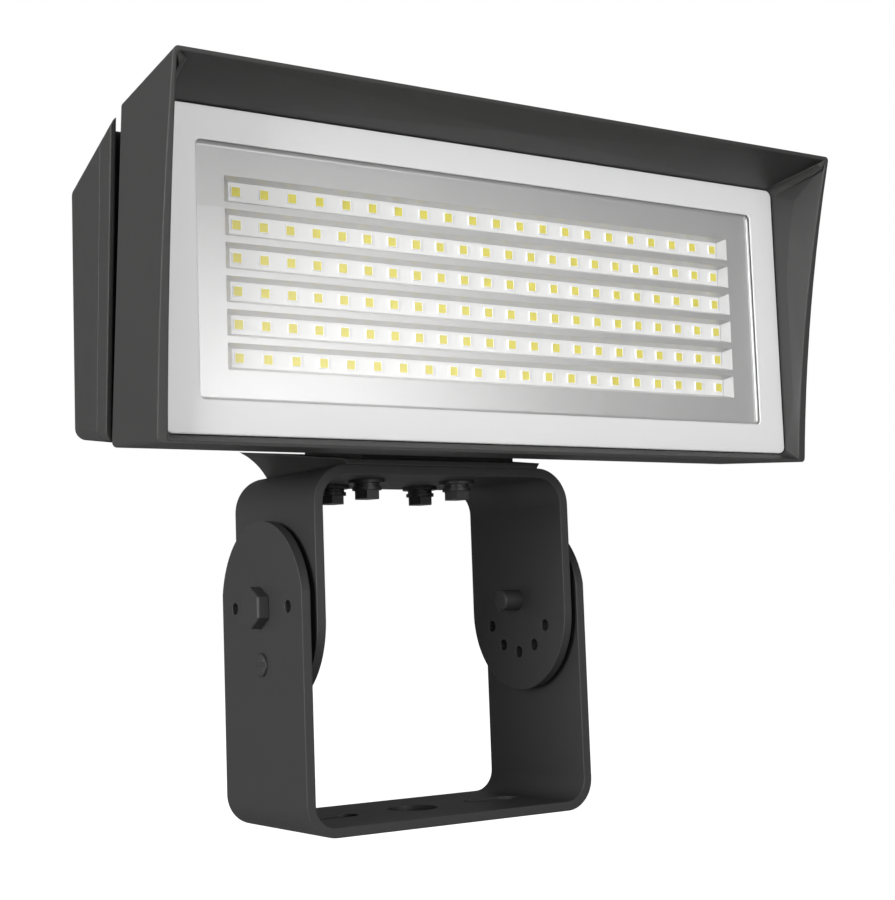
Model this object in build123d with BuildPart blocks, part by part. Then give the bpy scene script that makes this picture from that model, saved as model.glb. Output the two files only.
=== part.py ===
from build123d import *
import os
from math import atan, cos, floor, radians, sin, sqrt, tan

# A flood light head on a tilting bracket, held in a fixed U-shaped yoke.
# Millimetres. +Z is up, X is the width, and the light faces -Y.
# The origin is the centre of the yoke's base hole, at the yoke's underside.

# Mounting yoke, a bent steel strap
yoke_width = 180.0
yoke_depth = 89.4
yoke_plate = 5.0
yoke_bend_r = 17.0
yoke_arm_end_r = 45.4
pivot_height = 116.7
base_hole_d = 28.0
base_slot_length = 34.0
base_slot_width = 15.0
base_slot_spacing = 105.0

# Angle index holes, on one radius about the pivot in the yoke and in the bracket
index_radius = 29.8
index_hole_d = 6.6
index_step = 30.0
index_steps_each_way = 2

# Locking screw, its tip just short of the bracket
lock_screw_d = 6.0
lock_head_d = 12.4
lock_head_height = 1.9
lock_slot_width = 2.8
lock_slot_depth = 1.0
lock_tip_gap = 0.3

# Pivot bolts and their spacers
pivot_bolt_d = 12.0
pivot_head_across_flats = 19.0
pivot_head_height = 6.6
pivot_head_gap = 0.1
pivot_chamfer = 0.8
pivot_tail = 12.2
running_fit = 0.05
side_gap = 3.8
spacer_d = 24.0
spacer_gap = 0.2

# Tilting bracket, a bent steel strap turned upside down inside the yoke
bracket_depth = 89.2
bracket_plate = 5.0
bracket_bend_r = 20.0
bracket_arm_end_drop = 6.9
bracket_rise = 72.2

# Bracket bolts, M8, with a small washer, a split washer and a large washer each
bracket_bolt_d = 8.0
bracket_bolt_hole_d = 9.0
bracket_bolt_across_flats = 13.0
bracket_bolt_head_height = 4.7
bracket_bolt_spacing_x = 58.8
bracket_bolt_spacing_y = 38.2
bracket_bolt_centre_y = 8.25
bracket_bolt_grip = 9.4
small_washer_d = 16.0
small_washer_t = 1.8
lock_washer_d = 14.0
lock_washer_t = 2.0
lock_washer_split = 2.2
flat_washer_d = 20.0
flat_washer_t = 1.8

# Pedestal, a flared casting under the driver housing
pedestal_base_width = 122.0
pedestal_flare_middle = (6.5, 8.0)
pedestal_flare_end = (28.0, 17.0)
pedestal_front_height = 2.9
pedestal_neck_width = 98.0
pedestal_neck_front_inset = 6.0
pedestal_neck_back_inset = 5.5

# Head: heights are taken from the middle of the lens
head_rise = 81.4
lens_plane = 107.3
window_width = 345.8
window_height = 120.1
window_corner_r = 2.7

# Front housing, a casting with a hood, seen in section at the lens plane
casting_width = 394.8
casting_up = 85.3
casting_down = 81.2
casting_draft = 4.2
casting_edge_r = 2.5
casting_rear = 63.9
casting_rear_lean = 7.78
hood_reach_bottom = 7.9
hood_reach_middle = 22.1
hood_reach_top = 37.4
hood_bottom_drop = 80.9
hood_middle_rise = 23.0
hood_top_rise = 88.4
hood_lip = 2.9
chamber_width = 360.0
chamber_height = 135.0
chamber_corner_r = 4.0
floor_thickness = 6.8

# Lens frame and lens
frame_width = 381.4
frame_height = 152.5
frame_corner_r = 4.0
frame_thickness = 4.0
frame_lip = 0.7
frame_reveal = 0.6
frame_edge_r = 0.8
frame_bevel = 0.4
lens_width = 355.6
lens_height = 129.6
lens_thickness = 2.0
lens_fit = 0.2
gasket_thickness = 1.0
gasket_width = 7.0
gasket_inset = 1.0

# Reflector pan
pan_gap = 0.1
pan_rim = 1.7
pan_cove_r = 1.6
pan_face_to_board = 4.4
pan_to_board = 0.2
slot_pitch = 15.7
slot_count = 6
slot_height = 12.4
slot_width = 314.0
slot_floor_height = 9.0
slot_floor_width = 306.0

# LED boards
board_length = 312.0
board_height = 11.5
board_thickness = 1.6
led_size = 5.0
led_height = 0.8
led_row_length = 298.6
leds_outer_row = 21
leds_inner_row = 22

# Driver cover and driver housing, a tapered box parted on a leaning plane
cover_front = 53.9
cover_front_lean = 7.83
parting = 33.65
parting_lean = 6.66
box_front = 68.0
box_front_width = 393.4
box_front_up = 79.8
box_front_down = 77.1
box_rear = 27.5
box_rear_width = 361.0
box_rear_up = 68.3
box_rear_down = 64.6
box_corner_r = 6.0
box_rear_edge_r = 3.0
box_wall = 4.0
cover_plate = 4.5
seal_thickness = 1.0
seal_inset = 1.2
seal_width = 2.4

# Cooling fins on both sides of the air gap
fin_pitch = 18.0
fin_thickness = 2.7
end_channel_least = 6.0

# Standoffs and screws across the air gap
standoff_side_gap = 0.65
standoff_spacing_z = 84.0
standoff_reach = 153.0
standoff_screw_d = 6.0
standoff_screw_hole_d = 6.6
standoff_screw_head_d = 10.0
standoff_screw_head_height = 4.0
standoff_screw_bite = 4.5

# Conduit for the LED leads across the air gap
conduit_d = 12.0
conduit_reach = 171.0
conduit_bore = 8.0
conduit_nut_across_flats = 17.0
conduit_nut_t = 4.0

# Cover screws into bosses in the driver housing
cover_screw_d = 4.0
cover_screw_hole_d = 4.5
cover_screw_head_d = 8.0
cover_screw_head_height = 3.0
cover_screw_bite = 12.0
cover_boss_d = 10.0
cover_boss_length = 20.0
cover_screw_reaches = (63.0, 171.0)
cover_screw_rise = 69.0
cover_screw_drop = 64.5

# Power supply, surge protector and terminal block on the back of the cover
driver_length = 214.0
driver_height = 62.0
driver_depth = 36.0
driver_edge_r = 2.0
driver_tab = 10.0
driver_tab_t = 3.0
driver_screw_spacing = 224.0
driver_screw_spacing_z = 44.0
device_screw_d = 4.0
device_screw_head_d = 7.5
device_screw_head_height = 2.6
device_screw_bite = 3.6
surge_size = (34.0, 46.0, 26.0)
terminal_size = (26.0, 52.0, 16.0)
device_centre_x = 140.0

# Pedestal screws from inside the driver housing
pedestal_screw_d = 6.0
pedestal_screw_hole_d = 6.6
pedestal_screw_head_d = 10.0
pedestal_screw_head_height = 4.0
pedestal_screw_bite = 6.0
pedestal_screw_spacing_x = 80.0
pedestal_screw_spacing_y = 28.0
pedestal_screw_centre_y = 0.0

# Cable gland in the driver housing's back wall, closed with its plug
gland_x = 110.0
gland_drop = 30.0
gland_thread_d = 20.0
gland_hex = 24.0
gland_hex_t = 6.0
gland_cap_length = 14.0
gland_edge = 3.0
gland_bore = 11.0
gland_nut_t = 5.0
gland_plug_out = 1.0
gland_thread_out = 2.0

# Worked out from the sizes above
pivot_z = pivot_height
yoke_inner = yoke_width / 2 - yoke_plate
bracket_outer = yoke_inner - side_gap
bracket_inner = bracket_outer - bracket_plate
bracket_top = pivot_z + bracket_rise
bracket_under = bracket_top - bracket_plate
mid_z = bracket_top + head_rise
draft_slope = tan(radians(casting_draft))
frame_back = lens_plane - frame_thickness
lens_front = lens_plane - frame_lip
lens_back = lens_front - lens_thickness
pan_front = lens_back - pan_gap
pan_face = pan_front - pan_rim
board_front = pan_face - pan_face_to_board
pan_back = board_front + pan_to_board
floor_front = board_front - board_thickness
floor_back = floor_front - floor_thickness
ledge = frame_back - gasket_thickness
box_taper_down = (box_front_down - box_rear_down) / (box_front + box_rear)
fin_room = min(casting_width, box_front_width) / 2 - 2 * fin_thickness - end_channel_least
fins_each_way = floor(fin_room / fin_pitch)
standoff_d = fin_pitch - fin_thickness - 2 * standoff_side_gap


def front_plane(forward):
    """Vertical plane facing -Y, centred on the lens; forward is its distance ahead of the pivot."""
    return Plane(origin=(0, -forward, mid_z), x_dir=(1, 0, 0), z_dir=(0, -1, 0))


def leaning_plane(forward, lean):
    """Plane facing -Y whose top leans forward by lean degrees about its level middle line."""
    tilt = radians(lean)
    return Plane(origin=(0, -forward, mid_z), x_dir=(1, 0, 0), z_dir=(0, -cos(tilt), -sin(tilt)))


def box_section(forward, inset):
    """Half width, rise and drop of the tapered rear box at a distance ahead of the pivot."""
    share = (box_front - forward) / (box_front + box_rear)
    half = box_front_width / 2 + share * (box_rear_width - box_front_width) / 2 - inset
    up = box_front_up + share * (box_rear_up - box_front_up) - inset
    down = box_front_down + share * (box_rear_down - box_front_down) - inset
    return half, up, down


def section_rectangle(half, up, down, corner_r):
    """Rounded rectangle about the lens axis, reaching up and down by different amounts."""
    with Locations((0, (up - down) / 2)):
        RectangleRounded(2 * half, up + down, corner_r)


def ring(outer_width, outer_height, outer_r, inner_width, inner_height, inner_r):
    """Rounded rectangular ring about the sketch's origin."""
    RectangleRounded(outer_width, outer_height, outer_r)
    RectangleRounded(inner_width, inner_height, inner_r, mode=Mode.SUBTRACT)


def channel_near(reach):
    """Middle of the channel between two fins that a sideways reach from the lens axis falls in."""
    return (floor(reach / fin_pitch) + 0.5) * fin_pitch


def strap_side(depth, square_z, tip_centre_z, tip_r, tip):
    """Strap outline from the side: square at one height, round at the other (tip is 1 up, -1 down)."""
    half = depth / 2
    shoulder = tip_centre_z + tip * sqrt(tip_r**2 - half**2)
    with BuildSketch(Plane.YZ) as outline:
        with BuildLine():
            Polyline((-half, shoulder), (-half, square_z), (half, square_z), (half, shoulder))
            ThreePointArc((half, shoulder), (0, tip_centre_z + tip * tip_r), (-half, shoulder))
        make_face()
    return outline.sketch


yoke_side = strap_side(yoke_depth, 0, pivot_z, yoke_arm_end_r, 1)
bracket_tip_z = pivot_z - bracket_arm_end_drop
bracket_side = strap_side(bracket_depth, bracket_top, bracket_tip_z, bracket_depth / 2, -1)
casting_back_plane = leaning_plane(casting_rear, casting_rear_lean)
cover_front_plane = leaning_plane(cover_front, cover_front_lean)
parting_plane = leaning_plane(parting, parting_lean)
cover_face_plane = parting_plane.offset(cover_plate)
seal_back_plane = parting_plane.offset(-seal_thickness)

os.makedirs("parts", exist_ok=True)

# Mounting yoke: a U strap with rounded arm ends, slots and a centre hole in its base
with BuildPart() as mounting_yoke:
    with BuildSketch(Plane.XZ.offset(-yoke_depth / 2)):
        yoke_top = pivot_z + yoke_arm_end_r
        with BuildLine():
            FilletPolyline(
                (-yoke_width / 2, yoke_top),
                (-yoke_width / 2, 0),
                (yoke_width / 2, 0),
                (yoke_width / 2, yoke_top),
                radius=yoke_bend_r,
            )
            FilletPolyline(
                (yoke_inner, yoke_top),
                (yoke_inner, yoke_plate),
                (-yoke_inner, yoke_plate),
                (-yoke_inner, yoke_top),
                radius=yoke_bend_r - yoke_plate,
            )
            Line((yoke_width / 2, yoke_top), (yoke_inner, yoke_top))
            Line((-yoke_width / 2, yoke_top), (-yoke_inner, yoke_top))
        make_face()
    extrude(amount=yoke_depth)
    extrude(yoke_side, amount=yoke_width, both=True, mode=Mode.INTERSECT)
    with BuildSketch(Plane.XY):
        Circle(base_hole_d / 2)
        with GridLocations(base_slot_spacing, 0, 2, 1):
            SlotOverall(base_slot_length, base_slot_width)
    extrude(amount=yoke_plate, mode=Mode.SUBTRACT)
    with BuildSketch(Plane.YZ):
        with Locations((0, pivot_z)):
            Circle(pivot_bolt_d / 2 + running_fit)
        with Locations((-index_radius, pivot_z), (index_radius, pivot_z)):
            Circle(index_hole_d / 2)
    extrude(amount=yoke_width, both=True, mode=Mode.SUBTRACT)
    with BuildSketch(Plane.YZ):
        with Locations((0, pivot_z - index_radius)):
            Circle(index_hole_d / 2)
    extrude(amount=yoke_width, mode=Mode.SUBTRACT)
    with BuildSketch(Plane.YZ):
        with Locations((0, pivot_z - index_radius)):
            Circle(lock_screw_d / 2)
    extrude(amount=-yoke_width, mode=Mode.SUBTRACT)
mounting_yoke.part.label = "mounting_yoke"
export_step(mounting_yoke.part, "parts/mounting_yoke.step")

bracket_bolt_spots = [
    (x, bracket_bolt_centre_y + y)
    for x in (-bracket_bolt_spacing_x / 2, bracket_bolt_spacing_x / 2)
    for y in (-bracket_bolt_spacing_y / 2, bracket_bolt_spacing_y / 2)
]

# Tilting bracket: a smaller strap, open downwards, with five index holes in each arm
with BuildPart() as tilt_bracket:
    bracket_low = bracket_tip_z - bracket_depth / 2
    with BuildSketch(Plane.XZ.offset(-bracket_depth / 2)):
        with BuildLine():
            FilletPolyline(
                (-bracket_outer, bracket_low),
                (-bracket_outer, bracket_top),
                (bracket_outer, bracket_top),
                (bracket_outer, bracket_low),
                radius=bracket_bend_r,
            )
            FilletPolyline(
                (bracket_inner, bracket_low),
                (bracket_inner, bracket_under),
                (-bracket_inner, bracket_under),
                (-bracket_inner, bracket_low),
                radius=bracket_bend_r - bracket_plate,
            )
            Line((bracket_outer, bracket_low), (bracket_inner, bracket_low))
            Line((-bracket_outer, bracket_low), (-bracket_inner, bracket_low))
        make_face()
    extrude(amount=bracket_depth)
    extrude(bracket_side, amount=yoke_width, both=True, mode=Mode.INTERSECT)
    with BuildSketch(Plane.YZ):
        with Locations((0, pivot_z)):
            Circle(pivot_bolt_d / 2)
            with PolarLocations(
                index_radius,
                2 * index_steps_each_way + 1,
                start_angle=-90 - index_step * index_steps_each_way,
                angular_range=2 * index_step * index_steps_each_way,
                endpoint=True,
            ):
                Circle(index_hole_d / 2)
    extrude(amount=yoke_width, both=True, mode=Mode.SUBTRACT)
    with BuildSketch(Plane.XY.offset(bracket_under)):
        with Locations(bracket_bolt_spots):
            Circle(bracket_bolt_hole_d / 2)
    extrude(amount=bracket_plate, mode=Mode.SUBTRACT)
tilt_bracket.part.label = "tilt_bracket"
export_step(tilt_bracket.part, "parts/tilt_bracket.step")


def pivot_side(side):
    """Plane on the yoke arm's outer face at the pivot, facing out; side is -1 for left, 1 for right."""
    return Plane(origin=(side * yoke_width / 2, 0, pivot_z), x_dir=(0, 1, 0), z_dir=(side, 0, 0))


# Pivot bolts: hex heads outside the yoke, shanks running in it and screwed through the bracket
with BuildPart() as pivot_bolts:
    for side in (-1, 1):
        face = pivot_side(side)
        with BuildSketch(face.offset(pivot_head_gap)):
            RegularPolygon(pivot_head_across_flats / 2, 6, major_radius=False, rotation=30)
        extrude(amount=pivot_head_height)
        with BuildSketch(face.offset(pivot_head_gap)):
            Circle(pivot_bolt_d / 2)
        extrude(amount=-(pivot_head_gap + yoke_width / 2 - bracket_inner + pivot_tail))
    heads = pivot_bolts.faces().filter_by(Axis.X).group_by(Axis.X)
    chamfer(heads[0].edges() + heads[-1].edges(), pivot_chamfer)
    tails = pivot_bolts.edges().filter_by(GeomType.CIRCLE).sort_by(lambda edge: abs(edge.center().X))
    chamfer(tails[:2], pivot_chamfer)
pivot_bolts.part.label = "pivot_bolts"
export_step(pivot_bolts.part, "parts/pivot_bolts.step")

# Spacers on the pivot bolts between the yoke's and the bracket's arms
with BuildPart() as pivot_spacers:
    for side in (-1, 1):
        with BuildSketch(pivot_side(side).offset(-yoke_plate - spacer_gap)):
            Circle(spacer_d / 2)
            Circle(pivot_bolt_d / 2, mode=Mode.SUBTRACT)
        extrude(amount=-(side_gap - spacer_gap))
pivot_spacers.part.label = "pivot_spacers"
export_step(pivot_spacers.part, "parts/pivot_spacers.step")

# Locking screw: slotted pan head on the left arm, tip just short of the bracket
with BuildPart() as lock_screw:
    lock_face = Plane(
        origin=(-yoke_width / 2, 0, pivot_z - index_radius), x_dir=(0, -1, 0), z_dir=(-1, 0, 0)
    )
    with BuildSketch(lock_face):
        Circle(lock_head_d / 2)
    extrude(amount=lock_head_height)
    fillet(lock_screw.edges().filter_by(GeomType.CIRCLE).sort_by(Axis.X)[0], lock_head_height * 0.7)
    with BuildSketch(lock_face.offset(lock_head_height)):
        Rectangle(lock_head_d + 1, lock_slot_width)
    extrude(amount=-lock_slot_depth, mode=Mode.SUBTRACT)
    with BuildSketch(lock_face):
        Circle(lock_screw_d / 2)
    extrude(amount=-(yoke_plate + side_gap - lock_tip_gap))
lock_screw.part.label = "lock_screw"
export_step(lock_screw.part, "parts/lock_screw.step")

# Bracket bolts and washers, stacked down from the underside of the bracket's top
flat_washer_z = bracket_under - flat_washer_t
lock_washer_z = flat_washer_z - lock_washer_t
small_washer_z = lock_washer_z - small_washer_t

with BuildPart() as bracket_flat_washers:
    with BuildSketch(Plane.XY.offset(flat_washer_z)):
        with Locations(bracket_bolt_spots):
            Circle(flat_washer_d / 2)
            Circle(bracket_bolt_d / 2, mode=Mode.SUBTRACT)
    extrude(amount=flat_washer_t)
bracket_flat_washers.part.label = "bracket_flat_washers"
export_step(bracket_flat_washers.part, "parts/bracket_flat_washers.step")

with BuildPart() as bracket_lock_washers:
    with BuildSketch(Plane.XY.offset(lock_washer_z)):
        with Locations(bracket_bolt_spots):
            Circle(lock_washer_d / 2)
            Circle(bracket_bolt_d / 2, mode=Mode.SUBTRACT)
            with Locations((lock_washer_d / 2, 0)):
                Rectangle(lock_washer_d, lock_washer_split, mode=Mode.SUBTRACT)
    extrude(amount=lock_washer_t)
bracket_lock_washers.part.label = "bracket_lock_washers"
export_step(bracket_lock_washers.part, "parts/bracket_lock_washers.step")

with BuildPart() as bracket_small_washers:
    with BuildSketch(Plane.XY.offset(small_washer_z)):
        with Locations(bracket_bolt_spots):
            Circle(small_washer_d / 2)
            Circle(bracket_bolt_d / 2, mode=Mode.SUBTRACT)
    extrude(amount=small_washer_t)
bracket_small_washers.part.label = "bracket_small_washers"
export_step(bracket_small_washers.part, "parts/bracket_small_washers.step")

with BuildPart() as bracket_bolts:
    with BuildSketch(Plane.XY.offset(small_washer_z - bracket_bolt_head_height)):
        with Locations(bracket_bolt_spots):
            RegularPolygon(bracket_bolt_across_flats / 2, 6, major_radius=False)
    extrude(amount=bracket_bolt_head_height)
    with BuildSketch(Plane.XY.offset(small_washer_z)):
        with Locations(bracket_bolt_spots):
            Circle(bracket_bolt_d / 2)
    extrude(amount=bracket_top + bracket_bolt_grip - small_washer_z)
bracket_bolts.part.label = "bracket_bolts"
export_step(bracket_bolts.part, "parts/bracket_bolts.step")

# Pedestal: flared flanks under a sloping top, and a neck up to the housing's underside
pedestal_half_depth = bracket_depth / 2


def under_box_plane(height_at_front):
    """Plane parallel to the housing's underside, at a height above the pedestal's front edge."""
    tilt = atan(box_taper_down)
    return Plane(
        origin=(0, -pedestal_half_depth, height_at_front),
        x_dir=(1, 0, 0),
        z_dir=(0, -sin(tilt), cos(tilt)),
    )


pedestal_top_plane = under_box_plane(bracket_top + pedestal_front_height)
housing_under_plane = under_box_plane(mid_z - box_section(pedestal_half_depth, 0)[2])
neck_front = -pedestal_half_depth + pedestal_neck_front_inset
neck_back = box_rear - pedestal_neck_back_inset
pedestal_screw_spots = [
    (x, y)
    for x in (-pedestal_screw_spacing_x / 2, pedestal_screw_spacing_x / 2)
    for y in (
        pedestal_half_depth + pedestal_screw_centre_y - pedestal_screw_spacing_y / 2,
        pedestal_half_depth + pedestal_screw_centre_y + pedestal_screw_spacing_y / 2,
    )
]

with BuildPart() as pedestal:
    base_half = pedestal_base_width / 2
    middle_out, middle_up = pedestal_flare_middle
    end_out, end_up = pedestal_flare_end
    with BuildSketch(Plane.XZ.offset(-pedestal_half_depth)):
        with BuildLine():
            Line((-base_half, bracket_top), (base_half, bracket_top))
            for side in (-1, 1):
                ThreePointArc(
                    (side * base_half, bracket_top),
                    (side * (base_half + middle_out), bracket_top + middle_up),
                    (side * (base_half + end_out), bracket_top + end_up),
                )
            Line(
                (-base_half - end_out, bracket_top + end_up),
                (base_half + end_out, bracket_top + end_up),
            )
        make_face()
    extrude(amount=2 * pedestal_half_depth)
    split(bisect_by=pedestal_top_plane, keep=Keep.BOTTOM)
    with BuildSketch(Plane.XY.offset(bracket_top)):
        with Locations((0, (neck_front + neck_back) / 2)):
            Rectangle(pedestal_neck_width, neck_back - neck_front)
    extrude(amount=housing_under_plane.origin.Z - bracket_top + 2 * end_up)
    split(bisect_by=housing_under_plane, keep=Keep.BOTTOM)
    with BuildSketch(Plane.XY.offset(bracket_top)):
        with Locations(bracket_bolt_spots):
            Circle(bracket_bolt_d / 2)
    extrude(amount=bracket_bolt_grip, mode=Mode.SUBTRACT)
    with BuildSketch(housing_under_plane):
        with Locations(pedestal_screw_spots):
            Circle(pedestal_screw_d / 2)
    extrude(amount=-pedestal_screw_bite, mode=Mode.SUBTRACT)
pedestal.part.label = "pedestal"
export_step(pedestal.part, "parts/pedestal.step")

with BuildPart() as pedestal_screws:
    with BuildSketch(housing_under_plane.offset(box_wall)):
        with Locations(pedestal_screw_spots):
            Circle(pedestal_screw_head_d / 2)
    extrude(amount=pedestal_screw_head_height)
    with BuildSketch(housing_under_plane.offset(box_wall)):
        with Locations(pedestal_screw_spots):
            Circle(pedestal_screw_d / 2)
    extrude(amount=-box_wall - pedestal_screw_bite)
pedestal_screws.part.label = "pedestal_screws"
export_step(pedestal_screws.part, "parts/pedestal_screws.step")


# Front housing: a tapered casting with a hood in front and cooling fins behind
def casting_section(forward, plane_inset=0.0):
    """Half width, rise and drop of the front casting at a distance ahead of the pivot."""
    grow = (forward - lens_plane) * draft_slope - plane_inset
    return casting_width / 2 + grow, casting_up + grow, casting_down + grow


casting_start = casting_rear - casting_up * tan(radians(casting_rear_lean)) * 2
hood_end = lens_plane + hood_reach_top * 1.2
recess_half = frame_width / 2 + frame_reveal
recess_rise = frame_height / 2 + frame_reveal
recess_r = frame_corner_r + frame_reveal
standoff_x = channel_near(standoff_reach)
standoff_spots = [
    (x, z)
    for x in (-standoff_x, standoff_x)
    for z in (-standoff_spacing_z / 2, standoff_spacing_z / 2)
]
fin_channels = [(index + 0.5) * fin_pitch for index in range(-fins_each_way, fins_each_way)]
end_channel_in = fins_each_way * fin_pitch + fin_thickness / 2

conduit_x = channel_near(conduit_reach)

# Standoff screws: heads on the back of the driver cover, tips in the front housing's floor
with BuildPart() as standoff_screws:
    with BuildSketch(parting_plane):
        with Locations(standoff_spots):
            Circle(standoff_screw_head_d / 2)
    extrude(amount=-standoff_screw_head_height)
    for x, z in standoff_spots:
        forward = floor_back + standoff_screw_bite - parting - z * sin(radians(parting_lean))
        with BuildSketch(parting_plane):
            with Locations((x, z)):
                Circle(standoff_screw_d / 2)
        extrude(amount=forward / cos(radians(parting_lean)))
standoff_screws.part.label = "standoff_screws"
export_step(standoff_screws.part, "parts/standoff_screws.step")

with BuildPart() as front_housing:
    with BuildSketch(front_plane(casting_start)):
        section_rectangle(*casting_section(casting_start), casting_edge_r)
    with BuildSketch(front_plane(hood_end)):
        section_rectangle(*casting_section(hood_end), casting_edge_r)
    loft()
    split(bisect_by=casting_back_plane, keep=Keep.TOP)
    with BuildSketch(Plane.YZ):
        with BuildLine():
            hood_bottom = (-lens_plane - hood_reach_bottom, mid_z - hood_bottom_drop)
            hood_top = (-lens_plane - hood_reach_top, mid_z + hood_top_rise)
            ThreePointArc(
                hood_bottom, (-lens_plane - hood_reach_middle, mid_z + hood_middle_rise), hood_top
            )
            Polyline(
                hood_top,
                (-lens_plane - hood_reach_top, mid_z + 2 * casting_up),
                (0, mid_z + 2 * casting_up),
                (0, mid_z - 2 * casting_down),
                (-lens_plane - hood_reach_bottom, mid_z - 2 * casting_down),
                hood_bottom,
            )
        make_face()
    extrude(amount=casting_width, both=True, mode=Mode.INTERSECT)
    with BuildSketch(front_plane(lens_plane)):
        section_rectangle(recess_half, recess_rise, recess_rise, recess_r)
    lip_half, lip_up, lip_down = casting_section(hood_end, hood_lip)
    with BuildSketch(front_plane(hood_end)):
        section_rectangle(lip_half, lip_up, lip_down, recess_r)
    loft(mode=Mode.SUBTRACT)
    with BuildSketch(front_plane(lens_plane)):
        section_rectangle(recess_half, recess_rise, recess_rise, recess_r)
    extrude(amount=-(lens_plane - ledge), mode=Mode.SUBTRACT)
    with BuildSketch(front_plane(ledge)):
        RectangleRounded(chamber_width, chamber_height, chamber_corner_r)
    extrude(amount=-(ledge - floor_front), mode=Mode.SUBTRACT)
    _, channel_up, channel_down = casting_section(casting_start, fin_thickness)
    channel_middle = (channel_up - channel_down) / 2
    channel_height = channel_up + channel_down
    with BuildSketch(front_plane(floor_back)):
        for x in fin_channels:
            with Locations((x, channel_middle)):
                Rectangle(fin_pitch - fin_thickness, channel_height)
    extrude(amount=-floor_back, mode=Mode.SUBTRACT)
    for side in (-1, 1):
        for forward in (floor_back, casting_start):
            channel_out = casting_section(forward, fin_thickness)[0]
            with BuildSketch(front_plane(forward)):
                with Locations((side * (end_channel_in + channel_out) / 2, channel_middle)):
                    Rectangle(channel_out - end_channel_in, channel_height)
        loft(mode=Mode.SUBTRACT)
    add(standoff_screws.part, mode=Mode.SUBTRACT)
    with BuildSketch(parting_plane):
        with Locations((conduit_x, 0)):
            Circle(conduit_d / 2)
    extrude(amount=lens_plane, mode=Mode.SUBTRACT)
front_housing.part.label = "front_housing"
export_step(front_housing.part, "parts/front_housing.step")

# Lens frame: a flat frame with a pocket behind for the lens
with BuildPart() as lens_frame:
    with BuildSketch(front_plane(frame_back)):
        ring(frame_width, frame_height, frame_corner_r, window_width, window_height, window_corner_r)
    extrude(amount=frame_thickness)
    frame_front_face = lens_frame.faces().sort_by(Axis.Y)[0]
    fillet(frame_front_face.outer_wire().edges(), frame_edge_r)
    frame_front_face = lens_frame.faces().sort_by(Axis.Y)[0]
    chamfer(frame_front_face.inner_wires()[0].edges(), frame_bevel)
    with BuildSketch(front_plane(frame_back)):
        RectangleRounded(lens_width + 2 * lens_fit, lens_height + 2 * lens_fit, window_corner_r)
    extrude(amount=frame_thickness - frame_lip, mode=Mode.SUBTRACT)
lens_frame.part.label = "lens_frame"
export_step(lens_frame.part, "parts/lens_frame.step")

with BuildPart() as lens:
    with BuildSketch(front_plane(lens_back)):
        RectangleRounded(lens_width, lens_height, window_corner_r)
    extrude(amount=lens_thickness)
lens.part.label = "lens"
export_step(lens.part, "parts/lens.step")

# Gasket between the lens frame and the ledge in the front housing
with BuildPart() as lens_gasket:
    gasket_outer_width = frame_width - 2 * gasket_inset
    gasket_outer_height = frame_height - 2 * gasket_inset
    with BuildSketch(front_plane(ledge)):
        ring(
            gasket_outer_width,
            gasket_outer_height,
            frame_corner_r,
            gasket_outer_width - 2 * gasket_width,
            gasket_outer_height - 2 * gasket_width,
            frame_corner_r / 2,
        )
    extrude(amount=gasket_thickness)
lens_gasket.part.label = "lens_gasket"
export_step(lens_gasket.part, "parts/lens_gasket.step")

# Reflector pan: a coved rim round a flat face with six slots that flare towards the lens
row_heights = [((slot_count - 1) / 2 - row) * slot_pitch for row in range(slot_count)]
with BuildPart() as reflector_pan:
    with BuildSketch(front_plane(pan_back)):
        RectangleRounded(lens_width, lens_height, window_corner_r)
    extrude(amount=pan_front - pan_back)
    with BuildSketch(front_plane(pan_face)):
        RectangleRounded(window_width, window_height, window_corner_r)
    extrude(amount=pan_rim, mode=Mode.SUBTRACT)
    pan_floor = reflector_pan.faces().filter_by(Axis.Y).filter_by_position(
        Axis.Y, -pan_face - pan_rim / 2, -pan_face + pan_rim / 2
    )
    fillet(pan_floor.edges(), pan_cove_r)
    for z in row_heights:
        with BuildSketch(front_plane(pan_face)):
            with Locations((0, z)):
                Rectangle(slot_width, slot_height)
        with BuildSketch(front_plane(pan_back)):
            with Locations((0, z)):
                Rectangle(slot_floor_width, slot_floor_height)
        loft(mode=Mode.SUBTRACT)
reflector_pan.part.label = "reflector_pan"
export_step(reflector_pan.part, "parts/reflector_pan.step")

# LED boards, one behind each slot, with a row of LEDs on each
for number, z in enumerate(row_heights, 1):
    with BuildPart() as led_board:
        with BuildSketch(front_plane(floor_front)):
            with Locations((0, z)):
                Rectangle(board_length, board_height)
        extrude(amount=board_thickness)
    led_board.part.label = f"led_board_{number}"
    export_step(led_board.part, f"parts/led_board_{number}.step")

    row_count = leds_outer_row if number in (1, slot_count) else leds_inner_row
    with BuildPart() as led_row:
        with BuildSketch(front_plane(board_front)):
            with Locations((0, z)):
                with GridLocations(led_row_length / (row_count - 1), 0, row_count, 1):
                    Rectangle(led_size, led_size)
        extrude(amount=led_height)
    led_row.part.label = f"led_row_{number}"
    export_step(led_row.part, f"parts/led_row_{number}.step")


def tapered_box(rear, inset):
    """Tapered body of the rear box, from ahead of the cover back to rear, inset all round."""
    with BuildPart() as body:
        for forward in (box_front, -rear):
            with BuildSketch(front_plane(forward)):
                section_rectangle(*box_section(forward, inset), box_corner_r - inset)
        loft()
    return body.part


cover_screw_spots = [
    (side * channel_near(reach), z)
    for side in (-1, 1)
    for reach in cover_screw_reaches
    for z in (-cover_screw_drop, cover_screw_rise)
]
driver_screw_spots = GridLocations(driver_screw_spacing, driver_screw_spacing_z, 2, 2)

# Driver cover: a leaning plate with cooling fins in front, its end fins flush with the sides
with BuildPart() as cover_plate_body:
    add(tapered_box(box_rear, 0))
    split(bisect_by=parting_plane, keep=Keep.TOP)
    split(bisect_by=cover_face_plane, keep=Keep.BOTTOM)

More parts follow.
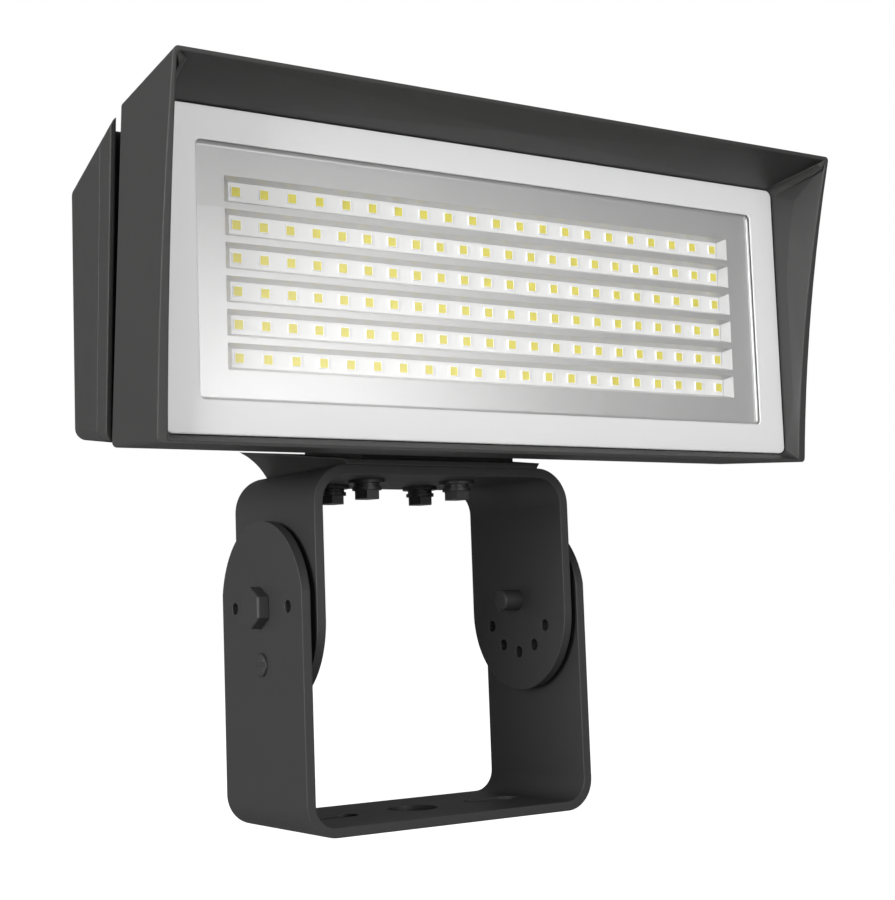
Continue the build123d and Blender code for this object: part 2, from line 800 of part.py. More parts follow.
with BuildPart() as driver_cover:
    add(tapered_box(box_rear, 0))
    split(bisect_by=parting_plane, keep=Keep.TOP)
    split(bisect_by=cover_front_plane, keep=Keep.BOTTOM)
    with BuildSketch(front_plane(0)):
        for x in fin_channels:
            with Locations((x, 0)):
                Rectangle(fin_pitch - fin_thickness, 4 * box_front_up)
    extrude(amount=box_front, mode=Mode.SUBTRACT)
    for side in (-1, 1):
        for forward in (0, box_front):
            channel_out = box_section(forward, fin_thickness)[0]
            with BuildSketch(front_plane(forward)):
                with Locations((side * (end_channel_in + channel_out) / 2, 0)):
                    Rectangle(channel_out - end_channel_in, 4 * box_front_up)
        loft(mode=Mode.SUBTRACT)
    add(cover_plate_body.part)
    with BuildSketch(parting_plane):
        with Locations(standoff_spots):
            Circle(standoff_screw_hole_d / 2)
        with Locations(cover_screw_spots):
            Circle(cover_screw_hole_d / 2)
        with Locations((conduit_x, 0)):
            Circle(conduit_d / 2)
    extrude(amount=cover_plate, mode=Mode.SUBTRACT)
    with BuildSketch(parting_plane):
        with driver_screw_spots:
            Circle(device_screw_d / 2)
    extrude(amount=device_screw_bite, mode=Mode.SUBTRACT)
driver_cover.part.label = "driver_cover"
export_step(driver_cover.part, "parts/driver_cover.step")

# Seal in the parting joint
with BuildPart() as cover_seal:
    add(tapered_box(box_rear, seal_inset))
    add(tapered_box(box_rear, seal_inset + seal_width), mode=Mode.SUBTRACT)
    split(bisect_by=seal_back_plane, keep=Keep.TOP)
    split(bisect_by=parting_plane, keep=Keep.BOTTOM)
cover_seal.part.label = "cover_seal"
export_step(cover_seal.part, "parts/cover_seal.step")

# Driver housing: a tapered box, open to the front, with bosses for the cover screws
gland_plane = Plane(origin=(gland_x, box_rear, mid_z - gland_drop), x_dir=(-1, 0, 0), z_dir=(0, 1, 0))
with BuildPart() as cover_bosses:
    with BuildSketch(seal_back_plane):
        with Locations(cover_screw_spots):
            Circle(cover_boss_d / 2)
    extrude(amount=-cover_boss_length)
    add(tapered_box(box_rear, box_wall / 2), mode=Mode.INTERSECT)

with BuildPart() as driver_housing:
    add(tapered_box(box_rear, 0))
    fillet(driver_housing.faces().sort_by(Axis.Y)[-1].edges(), box_rear_edge_r)
    add(tapered_box(box_rear - box_wall, box_wall), mode=Mode.SUBTRACT)
    split(bisect_by=seal_back_plane, keep=Keep.BOTTOM)
    add(cover_bosses.part)
    with BuildSketch(seal_back_plane):
        with Locations(cover_screw_spots):
            Circle(cover_screw_d / 2)
    extrude(amount=-cover_screw_bite, mode=Mode.SUBTRACT)
    with BuildSketch(housing_under_plane):
        with Locations(pedestal_screw_spots):
            Circle(pedestal_screw_hole_d / 2)
    extrude(amount=box_wall, mode=Mode.SUBTRACT)
    with BuildSketch(gland_plane):
        Circle(gland_thread_d / 2)
    extrude(amount=-box_wall, mode=Mode.SUBTRACT)
driver_housing.part.label = "driver_housing"
export_step(driver_housing.part, "parts/driver_housing.step")

with BuildPart() as cover_screws:
    with BuildSketch(cover_face_plane):
        with Locations(cover_screw_spots):
            Circle(cover_screw_head_d / 2)
    extrude(amount=cover_screw_head_height)
    with BuildSketch(cover_face_plane):
        with Locations(cover_screw_spots):
            Circle(cover_screw_d / 2)
    extrude(amount=-(cover_plate + seal_thickness + cover_screw_bite))
cover_screws.part.label = "cover_screws"
export_step(cover_screws.part, "parts/cover_screws.step")

# Hollow standoffs that hold the front housing off the driver cover
with BuildPart() as standoffs:
    with BuildSketch(cover_face_plane):
        with Locations(standoff_spots):
            Circle(standoff_d / 2)
            Circle(standoff_screw_hole_d / 2, mode=Mode.SUBTRACT)
    extrude(amount=floor_back)
    split(bisect_by=front_plane(floor_back), keep=Keep.BOTTOM)
standoffs.part.label = "standoffs"
export_step(standoffs.part, "parts/standoffs.step")

# Conduit for the LED leads, from the front housing's floor to the driver compartment
with BuildPart() as lead_conduit:
    with BuildSketch(parting_plane.offset(-conduit_nut_t - 1)):
        with Locations((conduit_x, 0)):
            Circle(conduit_d / 2)
            Circle(conduit_bore / 2, mode=Mode.SUBTRACT)
    extrude(amount=lens_plane)
    split(bisect_by=front_plane(floor_front), keep=Keep.BOTTOM)
lead_conduit.part.label = "lead_conduit"
export_step(lead_conduit.part, "parts/lead_conduit.step")

with BuildPart() as conduit_nut:
    with BuildSketch(parting_plane):
        with Locations((conduit_x, 0)):
            RegularPolygon(conduit_nut_across_flats / 2, 6, major_radius=False)
            Circle(conduit_d / 2, mode=Mode.SUBTRACT)
    extrude(amount=-conduit_nut_t)
conduit_nut.part.label = "conduit_nut"
export_step(conduit_nut.part, "parts/conduit_nut.step")

# Power supply on the back of the cover
with BuildPart() as led_driver:
    with BuildSketch(parting_plane):
        Rectangle(driver_length, driver_height)
    extrude(amount=-driver_depth)
    fillet(led_driver.faces().sort_by(Axis.Y)[-1].edges(), driver_edge_r)
    with BuildSketch(parting_plane):
        Rectangle(driver_length + 2 * driver_tab, driver_height)
        with driver_screw_spots:
            Circle(device_screw_d / 2, mode=Mode.SUBTRACT)
    extrude(amount=-driver_tab_t)
led_driver.part.label = "led_driver"
export_step(led_driver.part, "parts/led_driver.step")

with BuildPart() as driver_screws:
    with BuildSketch(parting_plane.offset(-driver_tab_t)):
        with driver_screw_spots:
            Circle(device_screw_head_d / 2)
    extrude(amount=-device_screw_head_height)
    with BuildSketch(parting_plane.offset(-driver_tab_t)):
        with driver_screw_spots:
            Circle(device_screw_d / 2)
    extrude(amount=driver_tab_t + device_screw_bite)
driver_screws.part.label = "driver_screws"
export_step(driver_screws.part, "parts/driver_screws.step")

with BuildPart() as surge_protector:
    with BuildSketch(parting_plane):
        with Locations((-device_centre_x, 0)):
            RectangleRounded(surge_size[0], surge_size[1], 3)
    extrude(amount=-surge_size[2])
surge_protector.part.label = "surge_protector"
export_step(surge_protector.part, "parts/surge_protector.step")

with BuildPart() as terminal_block:
    with BuildSketch(parting_plane):
        with Locations((device_centre_x, 0)):
            Rectangle(terminal_size[0], terminal_size[1])
    extrude(amount=-terminal_size[2])
    with BuildSketch(parting_plane.offset(-terminal_size[2])):
        with Locations((device_centre_x, 0)):
            with GridLocations(0, terminal_size[1] / 4, 1, 4):
                Rectangle(terminal_size[0] / 2, terminal_size[1] / 6)
    extrude(amount=terminal_size[2] / 2, mode=Mode.SUBTRACT)
terminal_block.part.label = "terminal_block"
export_step(terminal_block.part, "parts/terminal_block.step")

# Cable gland in the back wall, its lock nut inside and its closing plug
gland_out = gland_hex_t + gland_cap_length
with BuildPart() as cable_gland:
    with BuildSketch(gland_plane):
        RegularPolygon(gland_hex / 2, 6, major_radius=False)
    extrude(amount=gland_hex_t)
    with BuildSketch(gland_plane.offset(gland_hex_t)):
        Circle(gland_hex / 2)
    extrude(amount=gland_cap_length)
    chamfer(cable_gland.edges().sort_by(Axis.Y)[-1], gland_edge)
    with BuildSketch(gland_plane):
        Circle(gland_thread_d / 2)
    extrude(amount=-(box_wall + gland_nut_t + gland_thread_out))
    with BuildSketch(gland_plane.offset(gland_out)):
        Circle(gland_bore / 2)
    extrude(amount=-(gland_out + box_wall + gland_nut_t + gland_thread_out), mode=Mode.SUBTRACT)
cable_gland.part.label = "cable_gland"
export_step(cable_gland.part, "parts/cable_gland.step")

with BuildPart() as gland_nut:
    with BuildSketch(gland_plane.offset(-box_wall)):
        RegularPolygon(gland_hex / 2, 6, major_radius=False)
        Circle(gland_thread_d / 2, mode=Mode.SUBTRACT)
    extrude(amount=-gland_nut_t)
gland_nut.part.label = "gland_nut"
export_step(gland_nut.part, "parts/gland_nut.step")

with BuildPart() as gland_plug:
    with BuildSketch(gland_plane.offset(gland_out + gland_plug_out)):
        Circle(gland_bore / 2)
    extrude(amount=-(gland_out + gland_plug_out + box_wall))
gland_plug.part.label = "gland_plug"
export_step(gland_plug.part, "parts/gland_plug.step")
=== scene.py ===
"""A flood light head on its tilting bracket and mounting yoke, dressed for a studio photograph.

Lengths are metres, in the row frame: +Z up, the light faces -Y, the origin under the yoke's base.
"""

import logging
from dataclasses import dataclass, field
from enum import Enum

import bmesh
import bpy
from mathutils import Matrix, Vector


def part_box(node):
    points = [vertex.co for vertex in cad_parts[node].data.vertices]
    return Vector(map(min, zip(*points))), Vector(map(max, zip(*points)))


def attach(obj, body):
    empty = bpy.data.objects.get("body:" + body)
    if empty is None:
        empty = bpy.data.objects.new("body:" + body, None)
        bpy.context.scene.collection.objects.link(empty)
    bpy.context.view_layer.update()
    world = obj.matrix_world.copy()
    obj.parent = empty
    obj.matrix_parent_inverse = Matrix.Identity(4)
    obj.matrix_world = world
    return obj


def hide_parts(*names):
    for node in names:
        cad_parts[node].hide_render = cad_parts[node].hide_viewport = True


LOG = logging.getLogger("flood_light")
MM = 0.001
Colour = tuple[float, float, float]
Triple = tuple[float, float, float]
GRAIN_DETAIL = 2.0
PATCH_DETAIL = 3.0
GRAIN_STRENGTH = 0.6
EDGE_SAMPLES = 6
GLASS_IOR = 1.5
WHITE = (1.0, 1.0, 1.0, 1.0)
BLACK = (0.0, 0.0, 0.0, 1.0)
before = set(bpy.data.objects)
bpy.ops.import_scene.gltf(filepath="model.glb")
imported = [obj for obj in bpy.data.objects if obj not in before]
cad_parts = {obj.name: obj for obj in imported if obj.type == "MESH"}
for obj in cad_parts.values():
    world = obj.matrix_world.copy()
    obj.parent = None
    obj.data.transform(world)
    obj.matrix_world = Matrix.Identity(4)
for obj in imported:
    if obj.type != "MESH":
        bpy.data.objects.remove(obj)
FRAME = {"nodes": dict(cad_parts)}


class Stock(Enum):
    """What a piece is made of or finished with."""

    CASTING = "cast_powder_coat"
    STRAP = "strap_powder_coat"
    FASTENER = "blackened_steel"
    FRAME = "frame_paint"
    LENS = "clear_glass"
    REFLECTOR = "reflector_finish"
    BOARD = "board_mask"
    PACKAGE = "led_package"
    PHOSPHOR = "led_phosphor"
    RUBBER = "seal_rubber"
    ZINC = "zinc_plate"
    ALUMINIUM = "bare_aluminium"
    PLASTIC = "black_plastic"
    CASE = "driver_case"


def link(tree: bpy.types.NodeTree, source: bpy.types.NodeSocket, target: bpy.types.NodeSocket) -> None:
    """Join two sockets of one tree."""
    tree.links.new(source, target)


def grain_group() -> bpy.types.NodeTree:
    """Build the group for uneven coating: a slow shade and a fine surface height.

    Returns:
        The node group, with Shade, Height and Patch outputs.
    """
    group = bpy.data.node_groups.new("coating_grain", "ShaderNodeTree")
    face = group.interface
    for label, default in (("Grain Size", 900.0), ("Patch Size", 22.0), ("Unevenness", 0.06)):
        face.new_socket(label, in_out="INPUT", socket_type="NodeSocketFloat").default_value = default
    for label in ("Shade", "Height", "Patch"):
        face.new_socket(label, in_out="OUTPUT", socket_type="NodeSocketFloat")
    nodes = group.nodes
    entry = nodes.new("NodeGroupInput")
    leave = nodes.new("NodeGroupOutput")
    place = nodes.new("ShaderNodeTexCoord")
    fine = nodes.new("ShaderNodeTexNoise")
    fine.inputs["Detail"].default_value = GRAIN_DETAIL
    slow = nodes.new("ShaderNodeTexNoise")
    slow.inputs["Detail"].default_value = PATCH_DETAIL
    spread = nodes.new("ShaderNodeMath")
    spread.operation = "MULTIPLY_ADD"
    centre = nodes.new("ShaderNodeMath")
    centre.operation = "SUBTRACT"
    centre.inputs[1].default_value = 0.5
    spread.inputs[2].default_value = 1.0
    link(group, place.outputs["Object"], fine.inputs["Vector"])
    link(group, place.outputs["Object"], slow.inputs["Vector"])
    link(group, entry.outputs["Grain Size"], fine.inputs["Scale"])
    link(group, entry.outputs["Patch Size"], slow.inputs["Scale"])
    link(group, slow.outputs["Fac"], centre.inputs[0])
    link(group, centre.outputs[0], spread.inputs[0])
    link(group, entry.outputs["Unevenness"], spread.inputs[1])
    link(group, spread.outputs[0], leave.inputs["Shade"])
    link(group, fine.outputs["Fac"], leave.inputs["Height"])
    link(group, slow.outputs["Fac"], leave.inputs["Patch"])
    return group


def edge_group() -> bpy.types.NodeTree:
    """Build the group that rounds sharp edges in the shading and finds where they are.

    Returns:
        The node group, with Normal and Edge outputs.
    """
    group = bpy.data.node_groups.new("rounded_edges", "ShaderNodeTree")
    face = group.interface
    face.new_socket("Radius", in_out="INPUT", socket_type="NodeSocketFloat").default_value = 0.0008
    face.new_socket("Sharpness", in_out="INPUT", socket_type="NodeSocketFloat").default_value = 0.25
    face.new_socket("Normal", in_out="OUTPUT", socket_type="NodeSocketVector")
    face.new_socket("Edge", in_out="OUTPUT", socket_type="NodeSocketFloat")
    nodes = group.nodes
    entry = nodes.new("NodeGroupInput")
    leave = nodes.new("NodeGroupOutput")
    bevel = nodes.new("ShaderNodeBevel")
    bevel.samples = EDGE_SAMPLES
    flat = nodes.new("ShaderNodeNewGeometry")
    agree = nodes.new("ShaderNodeVectorMath")
    agree.operation = "DOT_PRODUCT"
    mask = nodes.new("ShaderNodeMapRange")
    mask.inputs["From Min"].default_value = 1.0
    mask.inputs["To Min"].default_value = 0.0
    mask.inputs["To Max"].default_value = 1.0
    lowest = nodes.new("ShaderNodeMath")
    lowest.operation = "SUBTRACT"
    lowest.inputs[0].default_value = 1.0
    link(group, entry.outputs["Radius"], bevel.inputs["Radius"])
    link(group, entry.outputs["Sharpness"], lowest.inputs[1])
    link(group, lowest.outputs[0], mask.inputs["From Max"])
    link(group, bevel.outputs["Normal"], agree.inputs[0])
    link(group, flat.outputs["Normal"], agree.inputs[1])
    link(group, agree.outputs["Value"], mask.inputs["Value"])
    link(group, bevel.outputs["Normal"], leave.inputs["Normal"])
    link(group, mask.outputs["Result"], leave.inputs["Edge"])
    return group


@dataclass(frozen=True)
class Finish:
    """A coated, moulded or plated surface, with rounded edges, a painted highlight along them, and a fine
    uneven skin.
    """

    colour: Colour
    # The edge colour is a painted highlight, mixed in along sharp edges.
    edge_highlight_colour: Colour
    roughness: float = 0.5
    roughness_swing: float = 0.06
    metallic: float = 0.0
    specular: float = 0.5
    grain_size: float = 900.0
    grain_depth: float = 0.00003
    patch_size: float = 22.0
    unevenness: float = 0.06
    edge_radius: float = 0.0008
    edge_highlight_amount: float = 0.35
    coat: float = 0.0

    def build(self, name: str, grain: bpy.types.NodeTree, edges: bpy.types.NodeTree) -> bpy.types.Material:
        """Make the material.

        Args:
            name: The material's name.
            grain: The shared coating group.
            edges: The shared edge group.

        Returns:
            The new material.
        """
        material = bpy.data.materials.new(name)
        material.use_nodes = True
        tree = material.node_tree
        surface = tree.nodes["Principled BSDF"]
        surface.inputs["Metallic"].default_value = self.metallic
        surface.inputs["Specular IOR Level"].default_value = self.specular
        surface.inputs["Coat Weight"].default_value = self.coat
        skin = tree.nodes.new("ShaderNodeGroup")
        skin.node_tree = grain
        skin.inputs["Grain Size"].default_value = self.grain_size
        skin.inputs["Patch Size"].default_value = self.patch_size
        skin.inputs["Unevenness"].default_value = self.unevenness
        rim = tree.nodes.new("ShaderNodeGroup")
        rim.node_tree = edges
        rim.inputs["Radius"].default_value = self.edge_radius
        shade = tree.nodes.new("ShaderNodeVectorMath")
        shade.operation = "SCALE"
        shade.inputs[0].default_value = self.colour
        # Painted highlight: the edge mask mixes the base colour towards the lighter edge colour.
        tint = tree.nodes.new("ShaderNodeMix")
        tint.data_type = "RGBA"
        tint.inputs["B"].default_value = (*self.edge_highlight_colour, 1.0)
        amount = tree.nodes.new("ShaderNodeMath")
        amount.operation = "MULTIPLY"
        amount.inputs[1].default_value = self.edge_highlight_amount
        rough = tree.nodes.new("ShaderNodeMapRange")
        rough.inputs["To Min"].default_value = self.roughness - self.roughness_swing
        rough.inputs["To Max"].default_value = self.roughness + self.roughness_swing
        bump = tree.nodes.new("ShaderNodeBump")
        bump.inputs["Distance"].default_value = self.grain_depth
        bump.inputs["Strength"].default_value = GRAIN_STRENGTH
        link(tree, skin.outputs["Shade"], shade.inputs["Scale"])
        link(tree, rim.outputs["Edge"], amount.inputs[0])
        link(tree, amount.outputs[0], tint.inputs["Factor"])
        link(tree, shade.outputs["Vector"], tint.inputs["A"])
        link(tree, tint.outputs["Result"], surface.inputs["Base Color"])
        link(tree, skin.outputs["Patch"], rough.inputs["Value"])
        link(tree, rough.outputs["Result"], surface.inputs["Roughness"])
        link(tree, skin.outputs["Height"], bump.inputs["Height"])
        link(tree, rim.outputs["Normal"], bump.inputs["Normal"])
        link(tree, bump.outputs["Normal"], surface.inputs["Normal"])
        return material


@dataclass(frozen=True)
class ClearGlass:
    """Flat toughened glass with the faintest uneven film on it."""

    tint: Colour = (0.995, 1.0, 0.997)
    film_tint: Colour = (0.985, 0.985, 0.985)
    film_size: float = 9.0

    def build(self, name: str) -> bpy.types.Material:
        """Make the material.

        Args:
            name: The material's name.

        Returns:
            The new material.
        """
        material = bpy.data.materials.new(name)
        material.use_nodes = True
        tree = material.node_tree
        surface = tree.nodes["Principled BSDF"]
        surface.inputs["Roughness"].default_value = 0.0
        surface.inputs["Metallic"].default_value = 0.0
        surface.inputs["Transmission Weight"].default_value = 1.0
        surface.inputs["IOR"].default_value = GLASS_IOR
        place = tree.nodes.new("ShaderNodeTexCoord")
        film = tree.nodes.new("ShaderNodeTexNoise")
        film.inputs["Scale"].default_value = self.film_size
        shade = tree.nodes.new("ShaderNodeMix")
        shade.data_type = "RGBA"
        shade.inputs["A"].default_value = (*self.tint, 1.0)
        shade.inputs["B"].default_value = (*self.film_tint, 1.0)
        link(tree, place.outputs["Object"], film.inputs["Vector"])
        link(tree, film.outputs["Fac"], shade.inputs["Factor"])
        link(tree, shade.outputs["Result"], surface.inputs["Base Color"])
        return material


# Each finish's second colour is the painted highlight laid along its sharp edges.
FINISHES: dict[Stock, Finish] = {
    Stock.CASTING: Finish((0.034, 0.0338, 0.0333), (0.13, 0.125, 0.115), roughness=0.52, edge_radius=0.0012),
    Stock.STRAP: Finish((0.028, 0.028, 0.028), (0.11, 0.11, 0.105), roughness=0.56, edge_radius=0.0009),
    Stock.FASTENER: Finish((0.027, 0.027, 0.028), (0.11, 0.11, 0.11), roughness=0.42, edge_radius=0.0004),
    Stock.FRAME: Finish(
        (0.88, 0.88, 0.88), (0.97, 0.97, 0.97), roughness=0.5, unevenness=0.02, edge_highlight_amount=0.6
    ),
    Stock.REFLECTOR: Finish(
        (0.6, 0.6, 0.6),
        (0.66, 0.66, 0.66),
        roughness=0.31,
        roughness_swing=0.02,
        metallic=0.7,
        unevenness=0.03,
        edge_radius=0.0003,
    ),
    Stock.BOARD: Finish(
        (0.8, 0.8, 0.795), (0.8, 0.8, 0.795), roughness=0.6, specular=0.3, unevenness=0.03, edge_radius=0.0002
    ),
    Stock.PACKAGE: Finish((0.9, 0.9, 0.92), (0.93, 0.93, 0.95), roughness=0.35, edge_radius=0.0001),
    Stock.PHOSPHOR: Finish(
        (0.72, 0.64, 0.1),
        (0.72, 0.64, 0.1),
        roughness=0.55,
        unevenness=0.12,
        patch_size=300.0,
        edge_radius=0.0001,
        edge_highlight_amount=0.0,
    ),
    Stock.RUBBER: Finish((0.015, 0.015, 0.015), (0.03, 0.03, 0.03), roughness=0.75),
    Stock.ZINC: Finish((0.5, 0.5, 0.5), (0.7, 0.7, 0.7), roughness=0.35, metallic=0.9, edge_radius=0.0003),
    Stock.ALUMINIUM: Finish((0.6, 0.6, 0.6), (0.8, 0.8, 0.8), roughness=0.38, metallic=0.9),
    Stock.PLASTIC: Finish((0.02, 0.02, 0.02), (0.06, 0.06, 0.06), roughness=0.5),
    Stock.CASE: Finish((0.7, 0.7, 0.7), (0.85, 0.85, 0.85), roughness=0.45),
}


class Palette:
    """Every material of the light, built once and handed out by stock."""

    def __init__(self) -> None:
        """Build the shared groups and all the materials."""
        grain = grain_group()
        edges = edge_group()
        self.materials: dict[Stock, bpy.types.Material] = {
            stock: finish.build(stock.value, grain, edges) for stock, finish in FINISHES.items()
        }
        self.materials[Stock.LENS] = ClearGlass().build(Stock.LENS.value)

    def dress(self, stock: Stock, *names: str) -> None:
        """Give CAD nodes a finish.

        Args:
            stock: The finish to use.
            names: The CAD nodes that take it.
        """
        for name in names:
            node = FRAME["nodes"][name]
            for place in node.material_slots:
                place.material = self.materials[stock]
            LOG.info("dressed %s in %s", name, stock.value)


@dataclass
class Yoke:
    """The fixed strap, its pivot hardware and its locking screw."""

    strap: str = "mounting_yoke"
    hardware: tuple[str, ...] = ("pivot_bolts", "pivot_spacers", "lock_screw")

    def dress(self, palette: Palette) -> None:
        """Coat the strap and its hardware in the strap's powder coat."""
        palette.dress(Stock.STRAP, self.strap, *self.hardware)


@dataclass
class Bracket:
    """The tilting strap, its bolts and washers, and the pedestal above it."""

    strap: str = "tilt_bracket"
    casting: str = "pedestal"
    fasteners: tuple[str, ...] = (
        "bracket_bolts",
        "bracket_small_washers",
        "bracket_lock_washers",
        "bracket_flat_washers",
    )
    hidden_screws: str = "pedestal_screws"

    def dress(self, palette: Palette) -> None:
        """Coat the strap and the casting, and finish the fasteners.

        Args:
            palette: The materials to use.
        """
        palette.dress(Stock.STRAP, self.strap)
        palette.dress(Stock.CASTING, self.casting)
        palette.dress(Stock.FASTENER, *self.fasteners)
        palette.dress(Stock.ZINC, self.hidden_screws)


@dataclass
class RearBox:
    """The driver cover and housing, what they hold and what crosses the air gap."""

    castings: tuple[str, ...] = ("driver_cover", "driver_housing")
    seals: tuple[str, ...] = ("cover_seal", "gland_plug")
    screws: tuple[str, ...] = ("cover_screws", "driver_screws", "standoff_screws")
    spacers: tuple[str, ...] = ("standoffs", "lead_conduit", "conduit_nut")
    plastics: tuple[str, ...] = ("cable_gland", "gland_nut", "terminal_block", "surge_protector")

    def dress(self, palette: Palette) -> None:
        """Finish the castings and everything in them.

        Args:
            palette: The materials to use.
        """
        palette.dress(Stock.CASTING, *self.castings)
        palette.dress(Stock.RUBBER, *self.seals)
        palette.dress(Stock.ZINC, *self.screws)
        palette.dress(Stock.ALUMINIUM, *self.spacers)
        palette.dress(Stock.PLASTIC, *self.plastics)
        palette.dress(Stock.CASE, "led_driver")


@dataclass
class LedField:
    """Six rows of LED packages, each a white body with a square of phosphor."""

    row_length: float = 298.6 * MM
    counts: tuple[int, ...] = (21, 22, 22, 22, 22, 21)
    body_size: float = 5.0 * MM
    phosphor_size: float = 4.4 * MM
    rim_bevel: float = 0.15 * MM
    phosphor_sink: float = 0.12 * MM
    phosphor_mark: str = "is_phosphor"
    rows: list[str] = field(default_factory=lambda: [f"led_row_{number}" for number in range(1, 7)])

    def package(self, height: float) -> bpy.types.Object:
        """Model one LED package facing -Y, with its back at y = 0 and its phosphor's face marked.

        Args:
            height: How far the package stands off its board.

        Returns:
            The package as an object of its own.
        """
        mesh = bmesh.new()
        mark = mesh.faces.layers.bool.new(self.phosphor_mark)
        bmesh.ops.create_cube(mesh, size=1.0)
        bmesh.ops.scale(mesh, vec=(self.body_size, height, self.body_size), verts=mesh.verts)
        bmesh.ops.translate(mesh, vec=(0.0, -height / 2, 0.0), verts=mesh.verts)
        front = min(mesh.faces, key=lambda face: face.calc_center_median().y)
        rim = (self.body_size - self.phosphor_size) / 2
        bmesh.ops.inset_region(mesh, faces=[front], thickness=rim, depth=0.0)
        bmesh.ops.inset_region(mesh, faces=[front], thickness=self.rim_bevel, depth=-self.phosphor_sink)
        front[mark] = True
        data = bpy.data.meshes.new("led_package")
        mesh.to_mesh(data)
        mesh.free()
        package = bpy.data.objects.new("led_package", data)
        bpy.context.scene.collection.objects.link(package)
        return package

    def row_tree(
        self, package: bpy.types.Object, palette: Palette
    ) -> tuple[bpy.types.NodeTree, dict[str, str]]:
        """Build the Geometry Nodes tree that sets packages along one row.

        Args:
            package: The object that is repeated.
            palette: The materials to use.

        Returns:
            The tree, and the identifier of each named input.
        """
        tree = bpy.data.node_groups.new("led_row_builder", "GeometryNodeTree")
        keys: dict[str, str] = {}
        inputs = (("Count", "NodeSocketInt"), ("Start", "NodeSocketVector"), ("Step", "NodeSocketVector"))
        for label, kind in inputs:
            keys[label] = tree.interface.new_socket(label, in_out="INPUT", socket_type=kind).identifier
        tree.interface.new_socket("Geometry", in_out="OUTPUT", socket_type="NodeSocketGeometry")
        nodes = tree.nodes
        entry = nodes.new("NodeGroupInput")
        leave = nodes.new("NodeGroupOutput")
        line = nodes.new("GeometryNodeMeshLine")
        source = nodes.new("GeometryNodeObjectInfo")
        source.inputs["Object"].default_value = package
        copies = nodes.new("GeometryNodeInstanceOnPoints")
        solid = nodes.new("GeometryNodeRealizeInstances")
        body = nodes.new("GeometryNodeSetMaterial")
        body.inputs["Material"].default_value = palette.materials[Stock.PACKAGE]
        marked = nodes.new("GeometryNodeInputNamedAttribute")
        marked.data_type = "BOOLEAN"
        marked.inputs["Name"].default_value = self.phosphor_mark
        phosphor = nodes.new("GeometryNodeSetMaterial")
        phosphor.inputs["Material"].default_value = palette.materials[Stock.PHOSPHOR]
        link(tree, entry.outputs["Count"], line.inputs["Count"])
        link(tree, entry.outputs["Start"], line.inputs["Start Location"])
        link(tree, entry.outputs["Step"], line.inputs["Offset"])
        link(tree, line.outputs["Mesh"], copies.inputs["Points"])
        link(tree, source.outputs["Geometry"], copies.inputs["Instance"])
        link(tree, copies.outputs["Instances"], solid.inputs["Geometry"])
        link(tree, solid.outputs["Geometry"], body.inputs["Geometry"])
        link(tree, body.outputs["Geometry"], phosphor.inputs["Geometry"])
        link(tree, marked.outputs["Attribute"], phosphor.inputs["Selection"])
        link(tree, phosphor.outputs["Geometry"], leave.inputs["Geometry"])
        return tree, keys

    def build(self, palette: Palette) -> None:
        """Replace the plain LED rows with rows of modelled packages.

        Args:
            palette: The materials to use.
        """
        low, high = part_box(self.rows[0])
        package = self.package(high[1] - low[1])
        tree, keys = self.row_tree(package, palette)
        for name, count in zip(self.rows, self.counts):
            low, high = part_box(name)
            step = self.row_length / (count - 1)
            holder = bpy.data.objects.new(name + "_holder", bpy.data.meshes.new(name + "_empty"))
            bpy.context.scene.collection.objects.link(holder)
            maker = holder.modifiers.new("row", "NODES")
            maker.node_group = tree
            maker[keys["Count"]] = count
            maker[keys["Start"]] = (-self.row_length / 2, high[1], (low[2] + high[2]) / 2)
            maker[keys["Step"]] = (step, 0.0, 0.0)
            graph = bpy.context.evaluated_depsgraph_get()
            data = bpy.data.meshes.new_from_object(holder.evaluated_get(graph))
            row = bpy.data.objects.new(name + "_packages", data)
            bpy.context.scene.collection.objects.link(row)
            bpy.data.objects.remove(holder)
            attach(row, "head")
            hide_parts(name)
            LOG.info("built %s with %d packages", row.name, count)
        bpy.data.objects.remove(package)


